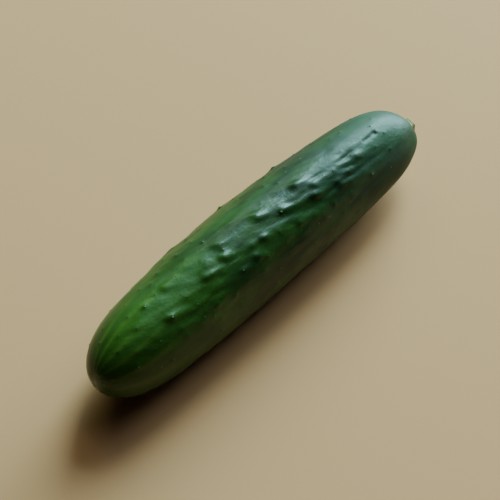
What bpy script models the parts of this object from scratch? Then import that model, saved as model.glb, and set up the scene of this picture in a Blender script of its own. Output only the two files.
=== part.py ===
"""A whole slicing cucumber as picked, lying on its flattened belly: the fruit and its stem stub.

Metres, +Z up. +X runs from the blossom end to the stem end. The origin is on the table,
under the centre of the box round both pieces.
"""

from math import cos, pi, radians, sin, sqrt

import bmesh
import bpy
from mathutils import Vector

# Fruit: driving dimensions
LENGTH = 0.1975  # blossom scar to stem seat
GIRTH_RADIUS = 0.0225  # at the widest ring
WIDEST = -0.05  # where that ring is, from -1 at the blossom scar to 1 at the stem seat
BARREL = 0.24  # share of that radius lost from there to either end, before the domes
BOW = 0.0027  # how far the middle stands off the line between the ends, towards +Y
BELLY_FLAT = 0.0008  # how deep the belly is flattened where the fruit lies
BLOSSOM_LIFT = 0.0020  # how far the blossom tip turns up
BLOSSOM_SIDE = 0.0010  # how far it turns towards -Y
BLOSSOM_TURN = 0.4  # the share of half the fruit over which the tip does that
STEM_SIDE = 0.0018  # how far the stem seat stands off towards -Y
STEM_TURN = 0.10  # the share of half the fruit over which it does
LOBE_COUNT = 3  # one for each seed chamber
LOBE_SHARE = 0.018  # how far the lobes stand out, as a share of the radius
TOP_LOBE = radians(90)  # one lobe on top leaves a flat side below
RIB_COUNT = 9
RIB_HEIGHT = 0.00016

# The two ends: each dome's length is a share of half the fruit, and a high exponent is blunt
BLOSSOM_DOME, BLOSSOM_EXPONENT, BLOSSOM_SCAR_RADIUS = 0.43, 3.0, 0.0018
STEM_DOME, STEM_EXPONENT, STEM_SEAT_RADIUS = 0.40, 4.0, 0.0045

# Stem stub: the last of the stalk, snapped off close to the fruit
STUB_GAP = 0.0003
STUB_LENGTH = 0.0034
STUB_FOOT_RADIUS = 0.0041
STUB_WAIST_RADIUS = 0.0029
STUB_TOP_RADIUS = 0.0034
STUB_FLARE_EXPONENT = 3  # how fast the foot narrows to the waist
STUB_LEAN = 0.0007  # sideways shift of its broken top, towards +Y
STUB_RIDGES, STUB_RIDGE_SHARE = 5, 0.09

# Mesh fineness
FRUIT_RINGS, FRUIT_SIDES = 60, 45
STUB_RINGS, STUB_SIDES = 8, 30
SHARP_EDGE = radians(50)  # only the rims of the stub's two end faces turn by more

AXIS_HEIGHT = GIRTH_RADIUS * (1 - LOBE_SHARE) - BELLY_FLAT  # of the fruit's middle over the table


def clear_scene():
    for item in list(bpy.data.objects):
        bpy.data.objects.remove(item)


def make_material(name, colour, roughness):
    material = bpy.data.materials.new(name)
    material.use_nodes = True
    shader = material.node_tree.nodes["Principled BSDF"]
    shader.inputs["Base Color"].default_value = (*colour, 1)
    shader.inputs["Roughness"].default_value = roughness
    shader.inputs["Metallic"].default_value = 0
    return material


def loft(name, rings, material):
    """A closed body through rings of points, which run round +X (or +Z) the right-handed way."""
    mesh = bmesh.new()
    loops = [[mesh.verts.new(point) for point in ring] for ring in rings]
    for low, high in zip(loops, loops[1:]):
        for i, corner in enumerate(low):
            after = (i + 1) % len(low)
            mesh.faces.new((corner, low[after], high[after], high[i]))
    for cap in (loops[0][::-1], loops[-1]):
        rim = mesh.faces.new(cap)
        bmesh.ops.poke(mesh, faces=[rim])
    data = bpy.data.meshes.new(name)
    mesh.to_mesh(data)
    mesh.free()
    data.materials.append(material)
    data.shade_smooth()
    data.set_sharp_from_angle(angle=SHARP_EDGE)
    body = bpy.data.objects.new(name, data)
    bpy.context.scene.collection.objects.link(body)
    return body


def dome(depth, share, exponent):
    """1 along the body, falling to 0 at the end. depth is how far it is from the end, in half lengths."""
    inward = max(0.0, 1 - depth / share)
    return sqrt(max(0.0, 1 - inward**exponent))


def fruit_radius(along):
    """The mean radius at along, which is -1 at the blossom scar and 1 at the stem seat."""
    body = GIRTH_RADIUS * (1 - BARREL * (along - WIDEST) ** 2)
    if along < 0:
        end, rounding = BLOSSOM_SCAR_RADIUS, dome(1 + along, BLOSSOM_DOME, BLOSSOM_EXPONENT)
    else:
        end, rounding = STEM_SEAT_RADIUS, dome(1 - along, STEM_DOME, STEM_EXPONENT)
    return end + (body - end) * rounding


def fruit_centre(along):
    """The middle of the ring there: bowed sideways, the blossom tip turned up and the stem seat aside."""
    tip = max(0.0, 1 - (1 + along) / BLOSSOM_TURN) ** 2
    seat = max(0.0, 1 - (1 - along) / STEM_TURN) ** 2
    side = BOW * (1 - along**2) - BLOSSOM_SIDE * tip - STEM_SIDE * seat
    return Vector((along * LENGTH / 2, side, AXIS_HEIGHT + BLOSSOM_LIFT * tip))


def fruit_ring(along):
    """The lobed and ribbed section there, pressed flat where it would pass below the table."""
    mean, centre = fruit_radius(along), fruit_centre(along)
    relief = mean / GIRTH_RADIUS
    ring = []
    for i in range(FRUIT_SIDES):
        angle = 2 * pi * i / FRUIT_SIDES
        lobes = LOBE_SHARE * mean * cos(LOBE_COUNT * (angle - TOP_LOBE))
        ribs = RIB_HEIGHT * relief * cos(RIB_COUNT * (angle - TOP_LOBE))
        radius = mean + relief * lobes + ribs
        point = centre + Vector((0, radius * cos(angle), radius * sin(angle)))
        point.z = max(point.z, 0.0)
        ring.append(point)
    return ring


def make_fruit(material):
    rings = [fruit_ring(-cos(pi * i / FRUIT_RINGS)) for i in range(FRUIT_RINGS + 1)]
    return loft("fruit", rings, material)


def make_stem_stub(material):
    """A five-ridged stub: a flared foot on the seat, a waist, and a slightly spread broken top."""
    rings = []
    for i in range(STUB_RINGS + 1):
        up = i / STUB_RINGS
        flare = (1 - up) ** STUB_FLARE_EXPONENT
        mean = STUB_WAIST_RADIUS + (STUB_FOOT_RADIUS - STUB_WAIST_RADIUS) * flare
        mean += (STUB_TOP_RADIUS - STUB_WAIST_RADIUS) * up**2
        ring = []
        for k in range(STUB_SIDES):
            angle = 2 * pi * k / STUB_SIDES
            radius = mean * (1 + STUB_RIDGE_SHARE * (1 - flare) * cos(STUB_RIDGES * angle))
            sideways = radius * sin(angle) + STUB_LEAN * up**2
            ring.append(Vector((radius * cos(angle), sideways, STUB_LENGTH * up)))
        rings.append(ring)
    stub = loft("stem_stub", rings, material)
    stub.rotation_euler = (0, pi / 2, 0)
    stub.location = fruit_centre(1) + Vector((STUB_GAP, 0, 0))
    return stub


def world_box(bodies):
    corners = [body.matrix_world @ vertex.co for body in bodies for vertex in body.data.vertices]
    low = Vector(min(corner[axis] for corner in corners) for axis in range(3))
    high = Vector(max(corner[axis] for corner in corners) for axis in range(3))
    return low, high


def main():
    clear_scene()
    skin = make_material("cucumber_skin", colour=(0.022, 0.085, 0.016), roughness=0.38)
    stalk = make_material("dry_stalk", colour=(0.30, 0.31, 0.14), roughness=0.75)
    pieces = [make_fruit(skin), make_stem_stub(stalk)]

    cucumber = bpy.data.objects.new("cucumber", None)
    bpy.context.scene.collection.objects.link(cucumber)
    for piece in pieces:
        piece.parent = cucumber
    bpy.context.view_layer.update()
    low, high = world_box(pieces)
    cucumber.location = (-(low.x + high.x) / 2, -(low.y + high.y) / 2, -low.z)


main()
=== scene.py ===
"""A whole slicing cucumber as picked: its warted skin, the spine stubs on it, and the stub of its stalk."""

import bpy
import numpy as np
from math import cos, pi, radians, sin
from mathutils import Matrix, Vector, noise


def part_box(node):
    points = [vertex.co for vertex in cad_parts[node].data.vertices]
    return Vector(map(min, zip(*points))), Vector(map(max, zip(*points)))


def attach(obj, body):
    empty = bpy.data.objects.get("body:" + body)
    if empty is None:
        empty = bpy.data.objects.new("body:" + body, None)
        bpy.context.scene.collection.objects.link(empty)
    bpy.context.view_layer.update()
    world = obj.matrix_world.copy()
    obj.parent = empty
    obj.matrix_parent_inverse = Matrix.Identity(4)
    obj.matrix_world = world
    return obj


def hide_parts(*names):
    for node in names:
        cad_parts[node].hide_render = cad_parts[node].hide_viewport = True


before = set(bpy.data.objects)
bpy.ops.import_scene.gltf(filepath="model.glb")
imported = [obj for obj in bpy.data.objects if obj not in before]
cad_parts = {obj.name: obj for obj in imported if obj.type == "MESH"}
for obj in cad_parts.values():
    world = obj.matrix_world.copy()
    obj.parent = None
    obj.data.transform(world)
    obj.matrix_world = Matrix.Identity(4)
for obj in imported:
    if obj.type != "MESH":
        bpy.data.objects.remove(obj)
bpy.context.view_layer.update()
bpy.ops.object.select_all(action="DESELECT")


# Fruit
# The whole cucumber, skin and flesh, grown as one piece round a slight bow. The skin is thin, tight
# and waxy, with shallow furrows between its ridges and low warts along them. It lies on its flat side.

fruit_low, fruit_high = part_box("fruit")
fruit_middle = (fruit_low + fruit_high) / 2
half_length = (fruit_high.x - fruit_low.x) / 2
girth_radius = (fruit_high.y - fruit_low.y) / 2
LOBE_COUNT, LOBE_SHARE, TOP_LOBE = 3, 0.018, radians(90)  # the share is of the radius
RIB_HEIGHT = 0.00016
axis_height = fruit_high.z - girth_radius * (1 + LOBE_SHARE) - RIB_HEIGHT

# a barrel with two domed ends, whose lengths are shares of half the fruit
BARREL, WIDEST = 0.24, -0.05
BLOSSOM_DOME, BLOSSOM_EXPONENT, SCAR_RADIUS = 0.43, 3.0, 0.0018
STEM_DOME, STEM_EXPONENT, SEAT_RADIUS = 0.40, 4.0, 0.0045

# the bow, and how the two ends turn away from it
BOW, BLOSSOM_SIDE, BLOSSOM_LIFT, STEM_SIDE = 0.0027, 0.0010, 0.0020, 0.0018
BLOSSOM_TURN, STEM_TURN = 0.4, 0.10

SIDES, RINGS = 224, 424
bpy.ops.mesh.primitive_uv_sphere_add(
    segments=SIDES, ring_count=RINGS, radius=girth_radius, rotation=(0, pi / 2, 0)
)
fruit = bpy.context.object
fruit.name = fruit.data.name = "cucumber_fruit"
bpy.ops.object.transform_apply(location=True, rotation=True, scale=True)


def dome(depth, share, exponent):
    """1 along the body, falling to 0 at an end. depth is how far it is from there, in half lengths."""
    inward = np.clip(1 - depth / share, 0, None)
    return np.sqrt(np.clip(1 - inward**exponent, 0, None))


def mean_radius(along):
    """The mean radius at along, which is -1 at the blossom scar and 1 at the stem seat."""
    body = girth_radius * (1 - BARREL * (along - WIDEST) ** 2)
    blossom = SCAR_RADIUS + (body - SCAR_RADIUS) * dome(1 + along, BLOSSOM_DOME, BLOSSOM_EXPONENT)
    stem = SEAT_RADIUS + (body - SEAT_RADIUS) * dome(1 - along, STEM_DOME, STEM_EXPONENT)
    return np.where(along < 0, blossom, stem)


def read_points(mesh):
    flat = np.empty(len(mesh.vertices) * 3, np.float32)
    mesh.vertices.foreach_get("co", flat)
    return flat.reshape(-1, 3).astype(float)


def write_points(mesh, points):
    mesh.vertices.foreach_set("co", points.astype(np.float32).ravel())
    mesh.update()


def read_normals(mesh):
    flat = np.empty(len(mesh.vertices) * 3, np.float32)
    mesh.vertex_normals.foreach_get("vector", flat)
    return flat.reshape(-1, 3).astype(float)


def write_mask(mesh, name, values):
    """Keeps one number for each point of the mesh, for its material to read."""
    mesh.attributes.new(name, "FLOAT", "POINT").data.foreach_set("value", values.astype(np.float32))


def smooth_step(value, start, end):
    share = np.clip((value - start) / (end - start), 0, 1)
    return share * share * (3 - 2 * share)


def waves(points, size, stretch, seed):
    """Smooth random hills, about -1 to 1, size metres across and stretch times as long along the fruit."""
    scaled = points / size * np.array((1 / stretch, 1, 1)) + 17.3 * seed  # each seed a place of its own
    return np.array([noise.noise(Vector(point)) for point in scaled]) * 1.6  # as they come they are lower


# the sphere's rings, spread evenly over the fruit's outline from pole to pole
fine = -np.cos(np.linspace(0, pi, 4001))
outline_along = np.concatenate(((-1,), fine, (1,)))
outline_radius = np.concatenate(((0,), mean_radius(fine), (0,)))
steps = np.hypot(np.diff(outline_along) * half_length, np.diff(outline_radius))
travelled = np.concatenate(((0,), np.cumsum(steps)))

ball = read_points(fruit.data) / girth_radius
ring_share = np.arccos(np.clip(-ball[:, 0], -1, 1)) / pi
around = np.arctan2(ball[:, 2], ball[:, 1])
reached = ring_share * travelled[-1]
along = np.interp(reached, travelled, outline_along)
radius = np.interp(reached, travelled, outline_radius)

# the plain body: bowed towards +Y, blossom tip turned up, lobed, and flat below
tip_turn = np.clip(1 - (1 + along) / BLOSSOM_TURN, 0, None) ** 2
seat_turn = np.clip(1 - (1 - along) / STEM_TURN, 0, None) ** 2
centre_y = fruit_middle.y - BOW * along**2 - BLOSSOM_SIDE * tip_turn - STEM_SIDE * seat_turn
centre_z = axis_height + BLOSSOM_LIFT * tip_turn
lobes = LOBE_SHARE * (radius / girth_radius) * np.cos(LOBE_COUNT * (around - TOP_LOBE))
lobed = radius * (1 + lobes)
body = np.column_stack((
    fruit_middle.x + along * half_length,
    centre_y + lobed * np.cos(around),
    centre_z + lobed * np.sin(around),
))
write_points(fruit.data, body)
outward = read_normals(fruit.data)

# every mark on the skin wanders a little round the fruit as it grew
grown = around + 0.10 * waves(body, 0.026, 1.8, 5) + 0.035 * waves(body, 0.009, 2.0, 6)

# pads and tails run a little round the fruit as well as along it
SLANT = 0.19
twist = SLANT * along * half_length / girth_radius
twisted = np.column_stack((body[:, 0], radius * np.cos(around - twist), radius * np.sin(around - twist)))

# furrows between the ridges: where each lies round the fruit, in degrees, and how deep it is
FURROWS = ((12, 0.25), (50, 0.35), (128, 0.8), (158, 0.35), (199, 0.7), (238, 0.6), (281, 0.5), (325, 0.7))
FURROW_DEPTH, FURROW_WIDTH = 0.00080, 0.0013
furrow = np.zeros(len(body))
for number, (degrees_round, strength) in enumerate(FURROWS):
    wander = 0.04 * np.sin(along * 9.7 + number)
    turn = (grown - radians(degrees_round) - wander + pi) % (2 * pi) - pi
    across = turn * np.maximum(radius, 0.004) / FURROW_WIDTH
    deeper = 0.30 + 0.70 * smooth_step(along, -0.1, 0.5)
    fade = smooth_step(along, -1.0, -0.72) * (1 - smooth_step(along, 0.58, 0.80))
    broken = 0.72 + 0.28 * np.sin(along * 14 + number * 4.1)
    furrow = np.maximum(furrow, strength * deeper * fade * broken * np.exp(-across**2))

# the deepest furrow is a broken crease, which runs along the top from a pitted wart near the stem
CREASE_ROUND, CREASE_START, PIT_PLACE, CREASE_WIDTH = radians(101.5), 0.72, 0.757, 0.00095
crease_turn = around - CREASE_ROUND - 0.035 * np.sin(along * 11 + 2.0)
crease_fade = smooth_step(along, 0.10, 0.45) * (1 - smooth_step(along, 0.755, 0.80))
crease_broken = 0.36 + 0.30 * np.cos((along - CREASE_START) * 34) + 0.25 * waves(body, 0.006, 1.0, 12)
crease_pit = 0.50 * np.exp(-(((along - PIT_PLACE) / 0.016) ** 2))
crease_depth = crease_fade * (np.clip(crease_broken, 0.1, 1) + crease_pit)
furrow = np.maximum(furrow, crease_depth * np.exp(-((crease_turn * radius / CREASE_WIDTH) ** 2)))

# swellings: each is steep towards the blossom and tails off towards the stem. The larger ones and their
# warts are placed one by one: how far along the fruit, how many degrees round it, and what size
swellings = [(place, radians(degrees_round), size, around) for place, degrees_round, size in (
    (0.76, 101, 0.35), (0.60, 110, 0.75), (0.44, 124, 0.80), (0.33, 107, 0.75), (0.30, 118, 0.90),
    (0.26, 94, 1.00), (0.17, 66, 0.45), (0.16, 130, 0.70), (0.13, 107, 0.90), (0.01, 94, 1.00),
    (-0.03, 117, 0.95), (-0.06, 62, 0.50), (-0.11, 128, 0.75), (-0.22, 89, 0.95), (-0.24, 104, 0.75),
    (-0.27, 58, 0.40), (-0.36, 109, 0.90), (-0.44, 58, 0.40), (-0.53, 86, 0.85), (-0.61, 116, 0.75),
    (0.32, 32, 0.80), (-0.01, 30, 0.80), (-0.33, 28, 0.60), (-0.66, 86, 0.50), (0.52, 33, 0.50),
)]
warts = [(place, radians(degrees_round), size, around) for place, degrees_round, size in (
    (0.77, 100, 1.0), (0.65, 67, 0.8), (0.45, 108, 0.7), (0.53, 117, 0.6), (0.32, 33, 2.0),
    (0.17, 65, 0.8), (0.11, 108, 1.0), (-0.01, 30, 2.0), (-0.22, 98, 1.0), (-0.25, 74, 1.0),
    (-0.66, 86, 0.8), (-0.60, 117, 1.0),
)]

# the rest lie in rows along the fruit, and half of them carry a wart. They are small among the placed ones
ROWS, FIRST_PLACE, LAST_PLACE = 24, -0.90, 0.84
PLACED_ROUND, PLACED_SPREAD, PLACED_REACH, AMONG_PLACED = radians(108), radians(30), 0.75, 0.35
random = np.random.default_rng(11)
for row in range(ROWS):
    place = FIRST_PLACE + random.uniform(0, 0.12)
    while place < LAST_PLACE:
        angle, size = 2 * pi * row / ROWS + radians(random.uniform(-5.5, 5.5)), random.uniform(0.12, 0.65)
        if abs(angle - PLACED_ROUND) < PLACED_SPREAD and abs(place) < PLACED_REACH:
            size *= AMONG_PLACED
        swellings.append((place, angle, size, grown))
        if random.uniform(0, 1) < 0.50:
            warts.append((place, angle, size, grown))
        place += random.uniform(0.08, 0.19)


def offsets(place, angle, turned):
    """How far each point is from there, in metres along the fruit and round it."""
    return (along - place) * half_length, ((turned - angle + pi) % (2 * pi) - pi) * radius


BLUNT = 0.0014  # how far from its highest point a swelling starts to fall away
HOLLOW_LENGTH, HOLLOW_WIDTH, HOLLOW_DEPTH = 0.0024, 0.0025, 0.07  # before its steep side, a slight hollow
swelling = np.zeros(len(body))
for place, angle, size, turned in swellings:
    away_along, away_round = offsets(place, angle, turned)
    away_round -= SLANT * away_along
    head_length, half_width = 0.0016 + 0.0013 * size, 0.0014 + 0.0007 * size
    head = np.exp(-((np.minimum(away_along, 0) / head_length) ** 2))
    beyond = BLUNT - np.hypot(np.maximum(away_along, 0), BLUNT)
    short_tail, long_tail = 0.0016 + 0.0020 * size, 0.0042 + 0.0052 * size
    tail = 0.4 * np.exp(beyond / short_tail) + 0.6 * np.exp(beyond / long_tail)
    wider = half_width + 0.06 * np.clip(away_along, 0, 0.02)
    swelling += size * head * tail * np.exp(-((away_round / wider) ** 2))
    hollow_middle = -0.0026 - 0.0014 * size
    into_hollow = (away_along - hollow_middle) / HOLLOW_LENGTH
    hollow = np.exp(-(into_hollow**2) - (away_round / HOLLOW_WIDTH) ** 2)
    swelling -= HOLLOW_DEPTH * size * hollow

WART_LENGTH, WART_WIDTH = 0.0012, 0.0010
wart = np.zeros(len(body))
for place, angle, size, turned in warts:
    away_along, away_round = offsets(place, angle, turned)
    bump = np.exp(-((away_along / WART_LENGTH) ** 2) - (away_round / WART_WIDTH) ** 2)
    wart = np.maximum(wart, size * bump)

# low pads and lumps over all of the skin, fainter towards the ends and on three calm flanks
SWELLING_HEIGHT, WART_HEIGHT = 0.00102, 0.00026
PAD_HEIGHT, GRAIN_HEIGHT, LUMP_HEIGHT = 0.00048, 0.00018, 0.00030
CALM_FLANK = radians(52)
pads = np.sqrt(waves(twisted, 0.0048, 3.0, 8) ** 2 + 0.04)  # round pads with narrow creases between them
grain = GRAIN_HEIGHT * waves(twisted, 0.0027, 3.0, 9)
lumps = LUMP_HEIGHT * waves(body, 0.013, 1.8, 1)
ends = smooth_step(along, -1.0, -0.50) * (1 - smooth_step(along, 0.50, 0.78))
uneven = np.clip(0.75 + 0.5 * waves(body, 0.020, 1.5, 7), 0.2, 1.2)
calm = 0.5 + 0.5 * np.cos(LOBE_COUNT * (grown - CALM_FLANK))
busy = (1 - 0.82 * calm) * (0.10 + 0.90 * ends)
relief = (SWELLING_HEIGHT * swelling + PAD_HEIGHT * pads * uneven + grain) * busy
relief += WART_HEIGHT * wart + lumps * (0.20 + 0.80 * ends) - FURROW_DEPTH * furrow

# where the fruit lies, its weight presses the skin smooth and flat
PRESSED_HEIGHT, TABLE_GAP = 0.004, 0.00003
pressed = smooth_step(body[:, 2], 0.0, PRESSED_HEIGHT)
skin = body + outward * (relief * pressed)[:, None]
skin[:, 2] = np.maximum(skin[:, 2], fruit_low.z + TABLE_GAP)
write_points(fruit.data, skin)

# the blossom scar lies a little above the tip, and pale stripes run up from it and fade out
SCAR_OFFSET, SCAR_CORE, SCAR_EDGE = (0, -0.0013, 0.0040), 0.0011, 0.0022
tip = body[np.argmin(along)]
scar_middle = tip + np.array(SCAR_OFFSET)
from_scar = np.hypot(body[:, 1] - scar_middle[1], body[:, 2] - scar_middle[2])
round_scar = np.arctan2(body[:, 2] - scar_middle[2], body[:, 1] - scar_middle[1])
scar = (1 - smooth_step(from_scar, SCAR_CORE, SCAR_EDGE)) * (along < -0.9)
STRIPES = (12, 46, 73, 98, 122, 160, 191, 226, 262, 301, 334)  # the way each leaves the scar, in degrees
stripe = np.zeros(len(body))
for number, degrees_round in enumerate(STRIPES):
    reach = random.uniform(0.35, 0.70)
    width, strength = random.uniform(0.07, 0.13), random.uniform(0.45, 1.0)
    wander = 0.06 * np.sin(along * 7 + number * 1.9)
    turn = (round_scar - radians(degrees_round) - wander + pi) % (2 * pi) - pi
    fade = 1 - smooth_step(along, -1 + 0.3 * reach, -1 + reach)
    stripe = np.maximum(stripe, strength * fade * np.exp(-((turn / width) ** 2)))

# painted light: the upper side is painted paler towards the blossom end, as a lit band along the top
painted_top_light = np.exp(-(((grown - radians(96)) / radians(26)) ** 2)) * smooth_step(along, -0.20, -0.75)
painted_top_light *= 0.5 + 0.5 * smooth_step(along, -0.98, -0.80)

for name, values in (
    ("along", along), ("furrow", furrow), ("wart", wart), ("stripe", stripe),
    ("scar", scar), ("painted_top_light", painted_top_light), ("calm", calm),
):
    write_mask(fruit.data, name, values)
bpy.ops.object.shade_smooth()


def new_material(name):
    """An empty material with its shader, and the node tree that the rest is added to."""
    material = bpy.data.materials.new(name)
    material.use_nodes = True
    return material, material.node_tree, material.node_tree.nodes["Principled BSDF"]


def feed(tree, socket, value):
    """Sets a socket to a number or colour, or links it to another node's output."""
    if isinstance(value, bpy.types.NodeSocket):
        tree.links.new(value, socket)
    elif isinstance(value, tuple) and socket.type == "RGBA":
        socket.default_value = (*value, 1)
    else:
        socket.default_value = value


def blend_colours(tree, share, first, second):
    mix = tree.nodes.new("ShaderNodeMix")
    mix.data_type = "RGBA"
    feed(tree, mix.inputs["Factor"], share)
    feed(tree, mix.inputs[6], first)  # the colour pair, after the number and vector pairs
    feed(tree, mix.inputs[7], second)
    return mix.outputs[2]


def calculate(tree, operation, first, second=0.0):
    node = tree.nodes.new("ShaderNodeMath")
    node.operation = operation
    feed(tree, node.inputs[0], first)
    feed(tree, node.inputs[1], second)
    return node.outputs[0]


def spread(tree, value, start, end, low=0.0, high=1.0):
    """Turns the range from start to end into the range from low to high, smoothly, and holds it there."""
    node = tree.nodes.new("ShaderNodeMapRange")
    node.interpolation_type = "SMOOTHSTEP"
    feed(tree, node.inputs["Value"], value)
    for name, number in (("From Min", start), ("From Max", end), ("To Min", low), ("To Max", high)):
        node.inputs[name].default_value = number
    return node.outputs["Result"]


def surface_mask(tree, name):
    node = tree.nodes.new("ShaderNodeAttribute")
    node.attribute_name = name
    return node.outputs["Fac"]


def tint(tree, colour, mask, strength, tint_colour):
    """Lays a tint over the colour where the mask is, up to that strength."""
    return blend_colours(tree, calculate(tree, "MULTIPLY", mask, strength), colour, tint_colour)


def add_bump(tree, shader, distance, strength, height):
    bump = tree.nodes.new("ShaderNodeBump")
    bump.inputs["Distance"].default_value = distance
    bump.inputs["Strength"].default_value = strength
    feed(tree, bump.inputs["Height"], height)
    feed(tree, shader.inputs["Normal"], bump.outputs["Normal"])


def make_patches_group():
    """Random patches of a size in metres, drawn out along the fruit. They are 0.5 on average."""
    group = bpy.data.node_groups.new("grown_patches", "ShaderNodeTree")
    for name in ("Size", "Stretch", "Detail", "Shift"):
        group.interface.new_socket(name, in_out="INPUT", socket_type="NodeSocketFloat")
    group.interface.new_socket("Patches", in_out="OUTPUT", socket_type="NodeSocketFloat")
    given, result = group.nodes.new("NodeGroupInput"), group.nodes.new("NodeGroupOutput")
    place, mapping = group.nodes.new("ShaderNodeTexCoord"), group.nodes.new("ShaderNodeMapping")
    drawn_out, moved = group.nodes.new("ShaderNodeCombineXYZ"), group.nodes.new("ShaderNodeCombineXYZ")
    texture = group.nodes.new("ShaderNodeTexNoise")
    feed(group, drawn_out.inputs["X"], calculate(group, "DIVIDE", 1.0, given.outputs["Stretch"]))
    feed(group, drawn_out.inputs["Y"], 1.0)
    feed(group, drawn_out.inputs["Z"], 1.0)
    for axis in "XYZ":
        feed(group, moved.inputs[axis], given.outputs["Shift"])
    feed(group, mapping.inputs["Vector"], place.outputs["Object"])
    feed(group, mapping.inputs["Scale"], drawn_out.outputs["Vector"])
    feed(group, mapping.inputs["Location"], moved.outputs["Vector"])
    feed(group, texture.inputs["Vector"], mapping.outputs["Vector"])
    feed(group, texture.inputs["Scale"], calculate(group, "DIVIDE", 1.0, given.outputs["Size"]))
    feed(group, texture.inputs["Detail"], given.outputs["Detail"])
    feed(group, result.inputs["Patches"], texture.outputs["Fac"])
    return group


patches_group = make_patches_group()


def grown_patches(tree, size, stretch=1.0, detail=3.0, shift=0.0):
    """Places the patches in a material with its own values."""
    node = tree.nodes.new("ShaderNodeGroup")
    node.node_tree = patches_group
    for name, number in (("Size", size), ("Stretch", stretch), ("Detail", detail), ("Shift", shift)):
        node.inputs[name].default_value = number
    return node.outputs["Patches"]


# the skin's greens, the colours of its marks, a painted light green for its top and a painted shade green
# for its furrows
DARK_GREEN, MID_GREEN = (0.0098, 0.031, 0.0066), (0.028, 0.080, 0.0129)
SHADED_GREEN = (0.0055, 0.020, 0.0051)
STEM_GREEN, BLOSSOM_GREEN = (0.0023, 0.022, 0.0068), (0.033, 0.100, 0.0086)
PAINTED_LIGHT_GREEN, TIP_GREEN = (0.055, 0.148, 0.0148), (0.0086, 0.031, 0.0031)
PAINTED_FURROW_SHADE, WART_GREEN = (0.0016, 0.0117, 0.0035), (0.0023, 0.0187, 0.0027)
STRIPE_GREEN, DOT_GREEN = (0.086, 0.156, 0.0172), (0.109, 0.211, 0.055)
BLOOM_GREY, SCAR_BROWN = (0.30, 0.40, 0.38), (0.058, 0.039, 0.0140)

material, tree, shader = new_material("cucumber_skin")
at = surface_mask(tree, "along")
mottle = spread(tree, grown_patches(tree, 0.011, 2.5, 4.0), 0.38, 0.62)
colour = blend_colours(tree, mottle, DARK_GREEN, MID_GREEN)
fine_mottle = spread(tree, grown_patches(tree, 0.0035, 1.8, 4.0, 5.1), 0.40, 0.62)
colour = tint(tree, colour, fine_mottle, 0.28, SHADED_GREEN)
colour = tint(tree, colour, spread(tree, at, -0.2, 0.8), 0.60, STEM_GREEN)
colour = tint(tree, colour, spread(tree, at, 0.1, -0.85), 0.55, BLOSSOM_GREEN)
# painted light: a lighter green along the top of the blossom half
colour = tint(tree, colour, surface_mask(tree, "painted_top_light"), 0.45, PAINTED_LIGHT_GREEN)
colour = tint(tree, colour, spread(tree, at, -0.80, -0.98), 0.35, TIP_GREEN)
# painted shade: the furrows and the crease are painted darker
colour = tint(tree, colour, surface_mask(tree, "furrow"), 0.55, PAINTED_FURROW_SHADE)
streaks = spread(tree, grown_patches(tree, 0.0035, 5.0, 3.0, 0.3), 0.20, 0.55)
streaked_stripes = calculate(tree, "MULTIPLY", surface_mask(tree, "stripe"), streaks)
colour = tint(tree, colour, streaked_stripes, 0.75, STRIPE_GREEN)

# fine pale dots, one in each cell, in patches
DOT_SPACING = 0.0040
cells_place = tree.nodes.new("ShaderNodeTexCoord")
cells = tree.nodes.new("ShaderNodeTexVoronoi")
cells.inputs["Scale"].default_value = 1 / DOT_SPACING
feed(tree, cells.inputs["Vector"], cells_place.outputs["Object"])
dots = spread(tree, cells.outputs["Distance"], 0.15, 0.07)
dotted = spread(tree, grown_patches(tree, 0.004, 1.5, 2.0, 0.7), 0.45, 0.65)
colour = tint(tree, colour, calculate(tree, "MULTIPLY", dots, dotted), 0.55, DOT_GREEN)

# darker round each wart, with a faint waxy bloom towards the stem, and a brown scar at the other end
colour = tint(tree, colour, spread(tree, surface_mask(tree, "wart"), 0.15, 0.75), 0.45, WART_GREEN)
bloom_patches = spread(tree, grown_patches(tree, 0.018, 2.0, 5.0, 0.9), 0.35, 0.75)
bloom = calculate(tree, "MULTIPLY", bloom_patches, spread(tree, at, 0.0, 0.85))
colour = tint(tree, colour, bloom, 0.07, BLOOM_GREY)
colour = tint(tree, colour, surface_mask(tree, "scar"), 0.80, SCAR_BROWN)
feed(tree, shader.inputs["Base Color"], colour)
shader.inputs["Specular IOR Level"].default_value = 0.33

# waxy gloss in patches, duller towards the stem, on the calm flanks and under the bloom
roughness = spread(tree, grown_patches(tree, 0.007, 1.8, 4.0, 1.7), 0.3, 0.7, 0.26, 0.35)
for dulling in (
    spread(tree, at, 0.1, 0.85, 0.0, 0.19),
    spread(tree, surface_mask(tree, "calm"), 0.35, 1.0, 0.0, 0.14),
    calculate(tree, "MULTIPLY", bloom, 0.14),
):
    roughness = calculate(tree, "ADD", roughness, dulling)
feed(tree, shader.inputs["Roughness"], roughness)

# a fine grain over the skin, fainter on the calm flanks
fine_grain = grown_patches(tree, 0.0011, 1.6, 3.0, 2.1)
coarse_grain = calculate(tree, "MULTIPLY", grown_patches(tree, 0.0035, 3.0, 2.0, 2.9), 1.4)
skin_grain = calculate(tree, "ADD", fine_grain, coarse_grain)
calmed = spread(tree, surface_mask(tree, "calm"), 0.3, 0.9, 1.0, 0.25)
add_bump(tree, shader, 0.00020, 0.50, calculate(tree, "MULTIPLY", skin_grain, calmed))
fruit.data.materials.append(material)

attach(fruit, "root")
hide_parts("fruit")


# Spine stubs
# Each wart ends in what is left of the spine that grew on it, rubbed off when the fruit was picked: a
# tiny dry cone with a broken, hollow top. They are part of the skin. The young ones are pale and the
# old ones are dark.

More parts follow.
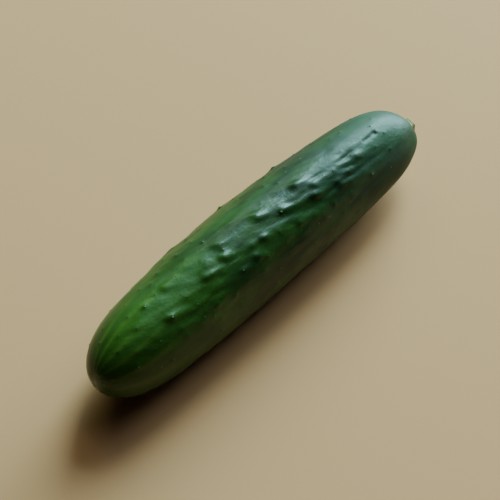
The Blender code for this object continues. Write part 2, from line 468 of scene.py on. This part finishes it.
bpy.ops.object.select_all(action="DESELECT")
STUB_BASE, STUB_TIP, STUB_HEIGHT = 0.00052, 0.00028, 0.00034
STUB_RIM, STUB_HOLLOW_DEPTH, STUB_LIFT = 0.00008, 0.00013, 0.00004
bpy.ops.mesh.primitive_cone_add(
    vertices=9, radius1=STUB_BASE, radius2=STUB_TIP, depth=STUB_HEIGHT, location=(0, 0, 0)
)
pattern = bpy.context.object
bpy.ops.object.mode_set(mode="EDIT")
bpy.ops.mesh.select_mode(type="FACE")
bpy.ops.mesh.select_all(action="DESELECT")
bpy.ops.object.mode_set(mode="OBJECT")
for face in pattern.data.polygons:
    face.select = face.normal.z > 0.9
bpy.ops.object.mode_set(mode="EDIT")
bpy.ops.mesh.inset(thickness=STUB_RIM)
bpy.ops.mesh.extrude_region_move(TRANSFORM_OT_translate={"value": (0, 0, -STUB_HOLLOW_DEPTH)})
bpy.ops.mesh.merge(type="CENTER")
bpy.ops.object.mode_set(mode="OBJECT")
bpy.ops.object.shade_smooth_by_angle(angle=radians(40))
hollow = np.array([1.0 if point.co.xy.length < 0.0001 else 0.0 for point in pattern.data.vertices])
write_mask(pattern.data, "hollow", hollow)

LOWEST_STUB = 0.0025
skin_normals = read_normals(fruit.data)
stubs = []
for place, angle, size, turned in warts:
    nearest = int(np.argmin(np.hypot(*offsets(place, angle, turned))))
    if skin[nearest, 2] < LOWEST_STUB:
        continue  # rubbed off where the fruit lies
    stub = pattern.copy()
    stub.data = pattern.data.copy()
    bpy.context.scene.collection.objects.link(stub)
    upright = Vector(skin_normals[nearest])
    grow = 0.42 + 0.50 * min(size, 1)
    stub.scale = (grow * random.uniform(0.85, 1.2), grow, grow * random.uniform(0.6, 1.1))
    leaning = upright + Vector(random.uniform(-0.25, 0.25, 3))
    stub.rotation_euler = leaning.to_track_quat("Z", "Y").to_euler()
    stub.location = Vector(skin[nearest]) + upright * STUB_LIFT
    age = random.uniform(0, 1) if turned is grown else 0  # those placed one by one are all pale
    write_mask(stub.data, "age", np.full(len(stub.data.vertices), age))
    stubs.append(stub)
bpy.data.objects.remove(pattern)
for stub in stubs:
    stub.select_set(True)
bpy.context.view_layer.objects.active = stubs[0]
bpy.ops.object.join()
spines = bpy.context.object
bpy.ops.object.transform_apply(location=True, rotation=True, scale=True)
spines.name = spines.data.name = "spine_stubs"

YOUNG_STUB, OLD_STUB = (0.165, 0.225, 0.075), (0.020, 0.030, 0.010)
STUB_BLOTCH, STUB_HOLLOW = (0.060, 0.080, 0.020), (0.020, 0.012, 0.006)

material, tree, shader = new_material("spine_stub")
age = spread(tree, surface_mask(tree, "age"), 0.15, 0.50)
colour = blend_colours(tree, age, YOUNG_STUB, OLD_STUB)
colour = tint(tree, colour, spread(tree, grown_patches(tree, 0.0004), 0.3, 0.7), 0.5, STUB_BLOTCH)
colour = tint(tree, colour, surface_mask(tree, "hollow"), 0.8, STUB_HOLLOW)
feed(tree, shader.inputs["Base Color"], colour)
roughness = spread(tree, grown_patches(tree, 0.0006), 0.3, 0.7, 0.60, 0.80)
feed(tree, shader.inputs["Roughness"], roughness)
shader.inputs["Specular IOR Level"].default_value = 0.25
spines.data.materials.clear()
spines.data.materials.append(material)
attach(spines, "root")


# Stem stub
# The last of the stalk, five-ridged, green and fibrous, dried pale where it snapped off. It grows out of
# a slight hollow in the fruit's end: a flared foot, a waist, and a ragged broken top with a pith.

stalk_low, stalk_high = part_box("stem_stub")
stalk_length = stalk_high.x - stalk_low.x
FOOT_RADIUS, WAIST_RADIUS, BROKEN_RADIUS = 0.0041, 0.0029, 0.0034
STALK_RIDGES, STALK_RIDGE_SHARE, STALK_LEAN = 5, 0.09, 0.0004
SUNK = 0.0012  # the foot starts this deep inside the skin, so that no gap shows
foot_centre = Vector((stalk_low.x, (stalk_low.y + stalk_high.y) / 2, (stalk_low.z + stalk_high.z) / 2))
STALK_SIDES, STALK_RINGS = 80, 22
bpy.ops.object.select_all(action="DESELECT")
bpy.ops.mesh.primitive_circle_add(
    vertices=STALK_SIDES, radius=1.0, fill_type="NOTHING", location=foot_centre, rotation=(0, pi / 2, 0)
)
stalk = bpy.context.object
stalk.name = stalk.data.name = "cucumber_stem_stub"
bpy.ops.object.transform_apply(location=True, rotation=True, scale=True)
bpy.ops.object.mode_set(mode="EDIT")
bpy.ops.mesh.select_mode(type="VERT")
bpy.ops.mesh.select_all(action="SELECT")
bpy.ops.transform.translate(value=(-SUNK, 0, 0))
ring_step = (stalk_length + SUNK) / STALK_RINGS
for ring in range(STALK_RINGS):
    bpy.ops.mesh.extrude_region_move(TRANSFORM_OT_translate={"value": (ring_step, 0, 0)})
top_centre = (stalk_high.x, foot_centre.y, foot_centre.z)
for shrink in (0.86, 0.80, 0.72, 0.60, 0.42):
    bpy.ops.mesh.extrude_region_move(TRANSFORM_OT_translate={"value": (0, 0, 0)})
    bpy.ops.transform.resize(value=(1, shrink, shrink), center_override=top_centre)
bpy.ops.mesh.extrude_region_move(TRANSFORM_OT_translate={"value": (0, 0, 0)})
bpy.ops.mesh.merge(type="CENTER")
bpy.ops.mesh.select_all(action="DESELECT")
bpy.ops.mesh.select_non_manifold()
bpy.ops.mesh.fill()
bpy.ops.mesh.select_all(action="SELECT")
bpy.ops.mesh.normals_make_consistent(inside=False)
bpy.ops.object.mode_set(mode="OBJECT")

round_stalk = read_points(stalk.data) - np.array(foot_centre)
up = np.clip(round_stalk[:, 0] / stalk_length, 0, 1)
out = np.hypot(round_stalk[:, 1], round_stalk[:, 2])  # 1 on the side, less across the broken top
turn = np.arctan2(round_stalk[:, 2], round_stalk[:, 1])
flare = (1 - up) ** 3
mean = WAIST_RADIUS + (FOOT_RADIUS - WAIST_RADIUS) * flare + (BROKEN_RADIUS - WAIST_RADIUS) * up**2
ridge = STALK_RIDGE_SHARE * (1 - flare) * np.cos(STALK_RIDGES * turn + 0.4)
fibres = 0.022 * np.sin(turn * 23 + 3 * up) + 0.016 * np.sin(turn * 37 + 1.3 - 2 * up)
shaped = mean * (1 + ridge + fibres * (1 - 0.5 * flare)) * out

# the broken top is torn, and dips between its rim and the pith
top = smooth_step(up, 0.97, 1.0)
torn = np.array([noise.noise(Vector((cos(a) * 2.6 * r, sin(a) * 2.6 * r, 4.0))) for a, r in zip(turn, out)])
bite = top * (0.0004 * torn - 0.0005 * smooth_step(out, 0.85, 0.45) * smooth_step(out, 0.0, 0.35))
stalk_points = np.column_stack((
    foot_centre.x + round_stalk[:, 0] + np.minimum(bite, 0),
    foot_centre.y + shaped * np.cos(turn) + STALK_LEAN * up**2,
    foot_centre.z + shaped * np.sin(turn),
))
write_points(stalk.data, stalk_points)
write_mask(stalk.data, "up", up)
write_mask(stalk.data, "inside", top * smooth_step(out, 1.0, 0.7))
write_mask(stalk.data, "pith", top * smooth_step(out, 0.5, 0.25))
write_mask(stalk.data, "fibre", 0.5 + fibres / 0.076)
bpy.ops.object.shade_smooth()

# straw with paler fibres, still green at the foot, and lighter inside round a dull pith
STRAW, PALE_FIBRE, FOOT_GREEN = (0.340, 0.260, 0.110), (0.510, 0.395, 0.200), (0.140, 0.160, 0.042)
DULL_BLOTCH, TORN_INSIDE, DULL_PITH = (0.235, 0.200, 0.100), (0.370, 0.280, 0.145), (0.220, 0.170, 0.090)

material, tree, shader = new_material("dry_stalk")
strands = spread(tree, surface_mask(tree, "fibre"), 0.2, 0.8)
colour = blend_colours(tree, strands, STRAW, PALE_FIBRE)
colour = tint(tree, colour, spread(tree, surface_mask(tree, "up"), 0.50, 0.0), 0.50, FOOT_GREEN)
blotches = spread(tree, grown_patches(tree, 0.0014, 2.0, 4.0), 0.45, 0.70)
colour = tint(tree, colour, blotches, 0.55, DULL_BLOTCH)
colour = tint(tree, colour, surface_mask(tree, "inside"), 0.8, TORN_INSIDE)
colour = tint(tree, colour, surface_mask(tree, "pith"), 0.7, DULL_PITH)
feed(tree, shader.inputs["Base Color"], colour)
roughness = spread(tree, grown_patches(tree, 0.0008), 0.3, 0.7, 0.62, 0.82)
feed(tree, shader.inputs["Roughness"], roughness)
add_bump(tree, shader, 0.0001, 0.6, grown_patches(tree, 0.0005, 3.0, 4.0))
stalk.data.materials.append(material)
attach(stalk, "root")
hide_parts("stem_stub")


# Table, light and camera
# A plain pale table under the fruit. A tall soft window stands beyond the stem end with a lower one beside
# it, and a far wall and the ceiling give back a little light. The camera looks down from the other side.

PALE_TAN = (0.71, 0.312, 0.150)
bpy.ops.mesh.primitive_plane_add(size=40.0, location=(0, 0, 0))
table = bpy.context.object
table.name = "table"
table_material, tree, shader = new_material("pale_table")
feed(tree, shader.inputs["Base Color"], PALE_TAN)
shader.inputs["Roughness"].default_value = 0.85
shader.inputs["Specular IOR Level"].default_value = 0.10
table.data.materials.append(table_material)


def towards(azimuth, elevation):
    """The direction from the fruit to something seen at that azimuth and elevation, in degrees."""
    turn, rise = radians(azimuth), radians(elevation)
    return Vector((sin(turn) * cos(rise), -cos(turn) * cos(rise), sin(rise)))


def add_panel(name, place, facing, size, watts, colour):
    """A soft rectangular light there, its width level, giving light in the direction facing."""
    bpy.ops.object.light_add(type="AREA", location=place)
    light = bpy.context.object
    light.name = name
    light.rotation_euler = facing.to_track_quat("-Z", "Y").to_euler()
    light.data.shape = "RECTANGLE"
    light.data.size, light.data.size_y = size
    light.data.energy, light.data.color = watts, colour


ROOM_REACH = 1.8  # how far the windows and the wall stand from the fruit
for name, azimuth, height, size, watts, colour in (
    ("window", 113, 1.30, (0.90, 1.80), 144, (0.50, 0.95, 1.0)),
    ("low_window", 95, 0.44, (0.80, 0.76), 50, (0.54, 0.96, 1.0)),
    ("far_wall", 147, 1.35, (1.10, 0.80), 11, (0.68, 1.0, 0.64)),
):
    direction = towards(azimuth, 0)
    add_panel(name, ROOM_REACH * direction + Vector((0, 0, height)), -direction, size, watts, colour)
add_panel("ceiling", Vector((1.35, 0.05, 2.60)), Vector((0, 0, -1)), (1.1, 2.2), 14, (0.75, 0.96, 1.0))
world = bpy.context.scene.world or bpy.data.worlds.new("room_light")
bpy.context.scene.world = world
world.use_nodes = True
world.node_tree.nodes["Background"].inputs["Color"].default_value = (0.85, 0.95, 1.0, 1)
world.node_tree.nodes["Background"].inputs["Strength"].default_value = 0.012

VIEW_AZIMUTH, VIEW_ELEVATION, VIEW_DISTANCE = -45.65, 55.0, 0.7564
aim = fruit_middle + Vector((-0.0029, -0.0013, 0.0003))
view = towards(VIEW_AZIMUTH, VIEW_ELEVATION)
bpy.ops.object.camera_add(location=aim + view * VIEW_DISTANCE)
camera = bpy.context.object
camera.rotation_euler = (-view).to_track_quat("-Z", "Y").to_euler()
camera.data.lens = 121.75
camera.data.sensor_width = 36
bpy.context.scene.camera = camera
